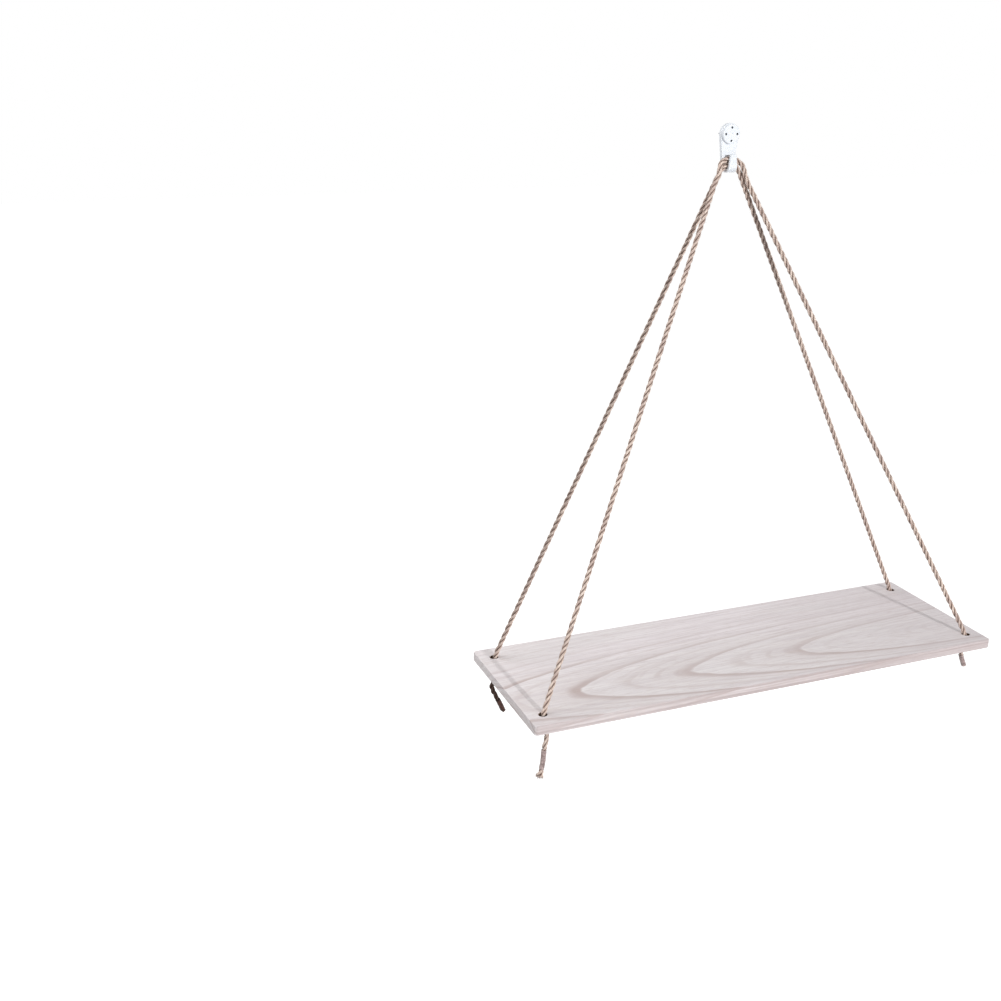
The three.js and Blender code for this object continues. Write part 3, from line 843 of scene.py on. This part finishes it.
def fibreMaterial(look, name, brown):
    # brown, from 0 to 1, is how much of the brown shows among the pale fibres
    desk = NodeDesk(name)
    place = desk.place()
    shade = desk.noise(place, 700)
    browned = desk.between(desk.noise(place, 950), 0.42, 0.58, 0, brown)
    colour = desk.mix(desk.between(shade, 0.4, 0.6), look["tan"], look["cream"])
    colour = desk.mix(browned, colour, look["brown"])
    return desk.finish(
        Base_Color=colour,
        Roughness=0.7,
        Normal=desk.bump(shade, 0.00003, 0.3),
    )


tapeTones = {"pale": (184, 163, 160), "deep": (126, 105, 103), "coat": 0.3, "specular": 0.5}
# painted shade: the back left end's tape, drawn dark as under the board, with little gloss so that
# it stays dark
shadedTapeTones = {"pale": (84, 57, 50), "deep": (54, 35, 31), "coat": 0.0, "specular": 0.15}


def tapeMaterial(look, name):
    desk = NodeDesk(name)
    place = desk.place()
    cloud = desk.noise(place, 420, detail=3, roughness=0.6)
    colour = desk.mix(desk.between(cloud, 0.35, 0.65), look["deep"], look["pale"])
    return desk.finish(
        Base_Color=colour,
        Roughness=desk.between(cloud, 0.3, 0.7, 0.25, 0.45),
        Normal=desk.bump(desk.noise(place, 900), 0.0001, 0.6),
        Specular_IOR_Level=look["specular"],
        Coat_Weight=look["coat"],
        Coat_Roughness=0.2,
    )


plasticTones = {"bright": (229, 233, 239), "dull": (224, 229, 236)}


def plasticMaterial(look):
    desk = NodeDesk("whitePlastic")
    place = desk.place()
    cloud = desk.noise(place, 160)
    skin = desk.noise(place, 900)
    return desk.finish(
        Base_Color=desk.mix(desk.between(cloud, 0.3, 0.7), look["bright"], look["dull"]),
        Roughness=desk.between(skin, 0.3, 0.7, 0.38, 0.44),
        Normal=desk.bump(skin, 0.00001, 0.2),
    )


steelTones = {"bright": (46, 47, 51), "dull": (28, 29, 32)}


def steelMaterial(look):
    desk = NodeDesk("nailSteel")
    place = desk.place()
    scuff = desk.noise(desk.stretched(place, (2400, 300, 2400)), detail=3)
    return desk.finish(
        Base_Color=desk.mix(desk.between(scuff, 0.35, 0.65), look["bright"], look["dull"]),
        Metallic=1.0,
        Roughness=desk.between(scuff, 0.3, 0.7, 0.4, 0.55),
        Normal=desk.bump(scuff, 0.00004, 0.4),
    )


finishes = {
    "wood": woodMaterial(wood),
    "rope": ropeMaterial(ropeTones, "twistedFibre", paintedShade=0),
    # the back rope gets a trace of painted shade
    "backRope": ropeMaterial(ropeTones, "backFibre", paintedShade=0.04),
    "fuzz": fibreMaterial(ropeTones, "looseFibre", brown=0.25),
    "fray": fibreMaterial(ropeTones, "frayedFibre", brown=0.95),
    "tape": tapeMaterial(tapeTones, "clearTape"),
    # painted shade on the back left end, under the board
    "shadedRope": ropeMaterial(ropeTones, "shadedFibre", paintedShade=0.9),
    "shadedTape": tapeMaterial(shadedTapeTones, "shadedTape"),
    "plastic": plasticMaterial(plasticTones),
    "steel": steelMaterial(steelTones),
}


def paint(piece, material):
    piece.data.materials.clear()
    piece.data.materials.append(material)


nodeFinishes = {
    "board": "wood", "hook_body": "plastic", "nail_disc": "plastic",
    "nail_top": "steel", "nail_right": "steel", "nail_bottom": "steel", "nail_left": "steel",
}
for node, finish in nodeFinishes.items():
    paint(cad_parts[node], finishes[finish])
for row, each in ropes.items():
    paint(each["piece"], finishes["backRope" if row == "back" else "rope"])
    paint(each["fuzz"], finishes["fuzz"])
for name, tail in tails.items():
    # the back left end is painted as in shade
    inShade = name == "back_left"
    paint(tail["piece"], finishes["shadedRope" if inShade else "rope"])
    paint(tail["knotPiece"], finishes["shadedRope" if inShade else "rope"])
    paint(tail["wrap"], finishes["shadedTape" if inShade else "tape"])
    paint(tail["fray"], finishes["shadedRope" if inShade else "fray"])
print("materials made")

softening = {"sharpAngle": 40, "weld": 0.000002}


def softenShading(nodes, look):
    # the facets of a round CAD face shade as one surface, and edges over the sharp angle stay
    group = bpy.data.node_groups.new("softShading", "GeometryNodeTree")
    for way in ("INPUT", "OUTPUT"):
        group.interface.new_socket("Geometry", in_out=way, socket_type="NodeSocketGeometry")
    start, end = group.nodes.new("NodeGroupInput"), group.nodes.new("NodeGroupOutput")
    faces, edges = (group.nodes.new("GeometryNodeSetShadeSmooth") for _ in range(2))
    edges.domain = "EDGE"
    angle = group.nodes.new("GeometryNodeInputMeshEdgeAngle")
    flat = group.nodes.new("FunctionNodeCompare")
    flat.operation = "LESS_THAN"
    flat.inputs[1].default_value = math.radians(look["sharpAngle"])
    group.links.new(start.outputs[0], faces.inputs[0])
    group.links.new(faces.outputs[0], edges.inputs[0])
    group.links.new(angle.outputs[0], flat.inputs[0])
    group.links.new(flat.outputs[0], edges.inputs["Shade Smooth"])
    group.links.new(edges.outputs[0], end.inputs[0])
    for node in nodes:
        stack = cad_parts[node].modifiers
        stack.new("weld", "WELD").merge_threshold = look["weld"]
        stack.new("soften", "NODES").node_group = group
        stack.new("flatFacesStayFlat", "WEIGHTED_NORMAL").keep_sharp = True


softenShading(nodeFinishes, softening)
print("round faces softened")

studio = {
    "floorZ": -0.66,
    "floorHalf": 6,
    "floorColour": (200, 200, 200),
    "floorGlow": 0.74,
    "worldStrength": 0.36,
    "sunPower": 0.37,
    "sunSpread": 60,  # degrees
    "sunFrom": (-0.3, 0.3, 1),
    "lamps": [
        {"place": (0.34, -3.24, 0.46), "aim": (0, -0.07, -0.42), "size": 0.1, "watts": 80},
        {"place": (-0.5, 0.38, 0.12), "aim": (-0.1, -0.05, -0.42), "size": 0.9, "watts": 3.2},
    ],
}


def raysThatSee(nodes, links):
    # 1 for the rays that show the background: those of the camera, of gloss and through glass
    rays = nodes.new("ShaderNodeLightPath")
    seen = rays.outputs["Is Camera Ray"]
    for kind in ("Is Glossy Ray", "Is Transmission Ray"):
        either = nodes.new("ShaderNodeMath")
        either.operation = "MAXIMUM"
        links.new(seen, either.inputs[0])
        links.new(rays.outputs[kind], either.inputs[1])
        seen = either.outputs[0]
    return seen


def makeStudio(look):
    half, z = look["floorHalf"], look["floorZ"]
    square = [(-half, -half, z), (half, -half, z), (half, half, z), (-half, half, z)]
    floor = meshObject("floor", square, [(0, 1, 2, 3)], smooth=False)
    material = bpy.data.materials.new("paleFloor")
    material.use_nodes = True
    nodes, links = material.node_tree.nodes, material.node_tree.links
    nodes.clear()
    seen = raysThatSee(nodes, links)
    diffuse = nodes.new("ShaderNodeBsdfDiffuse")
    diffuse.inputs["Color"].default_value = tint(look["floorColour"])
    glow = nodes.new("ShaderNodeEmission")
    links.new(seen, glow.inputs["Strength"])
    glow.inputs["Color"].default_value = (*[look["floorGlow"]] * 3, 1)
    both = nodes.new("ShaderNodeAddShader")
    out = nodes.new("ShaderNodeOutputMaterial")
    links.new(diffuse.outputs[0], both.inputs[0])
    links.new(glow.outputs[0], both.inputs[1])
    links.new(both.outputs[0], out.inputs[0])
    floor.data.materials.append(material)

    world = bpy.data.worlds.new("studio")
    bpy.context.scene.world = world
    world.use_nodes = True
    nodes, links = world.node_tree.nodes, world.node_tree.links
    nodes.clear()
    seen = raysThatSee(nodes, links)
    level = nodes.new("ShaderNodeMapRange")
    level.inputs["To Min"].default_value = look["worldStrength"]
    level.inputs["To Max"].default_value = 1
    links.new(seen, level.inputs["Value"])
    sky = nodes.new("ShaderNodeBackground")
    sky.inputs["Color"].default_value = (1, 1, 1, 1)
    links.new(level.outputs[0], sky.inputs["Strength"])
    out = nodes.new("ShaderNodeOutputWorld")
    links.new(sky.outputs[0], out.inputs[0])

    def addLamp(kind, place, toAim, **settings):
        lamp = bpy.data.lights.new(kind.lower(), kind)
        for key, value in settings.items():
            setattr(lamp, key, value)
        holder = bpy.data.objects.new(kind.lower(), lamp)
        bpy.context.collection.objects.link(holder)
        turn = Vector(toAim).to_track_quat("-Z", "Y").to_matrix().to_4x4()
        holder.matrix_world = Matrix.Translation(place) @ turn

    sunFrom = Vector(look["sunFrom"])
    spread = math.radians(look["sunSpread"])
    addLamp("SUN", sunFrom, -sunFrom, energy=look["sunPower"], angle=spread)
    for lamp in look["lamps"]:
        toAim = Vector(lamp["aim"]) - Vector(lamp["place"])
        addLamp("AREA", lamp["place"], toAim, shape="DISK", size=lamp["size"], energy=lamp["watts"])
    bpy.context.scene.view_settings.view_transform = "Standard"


makeStudio(studio)
print("studio lit")
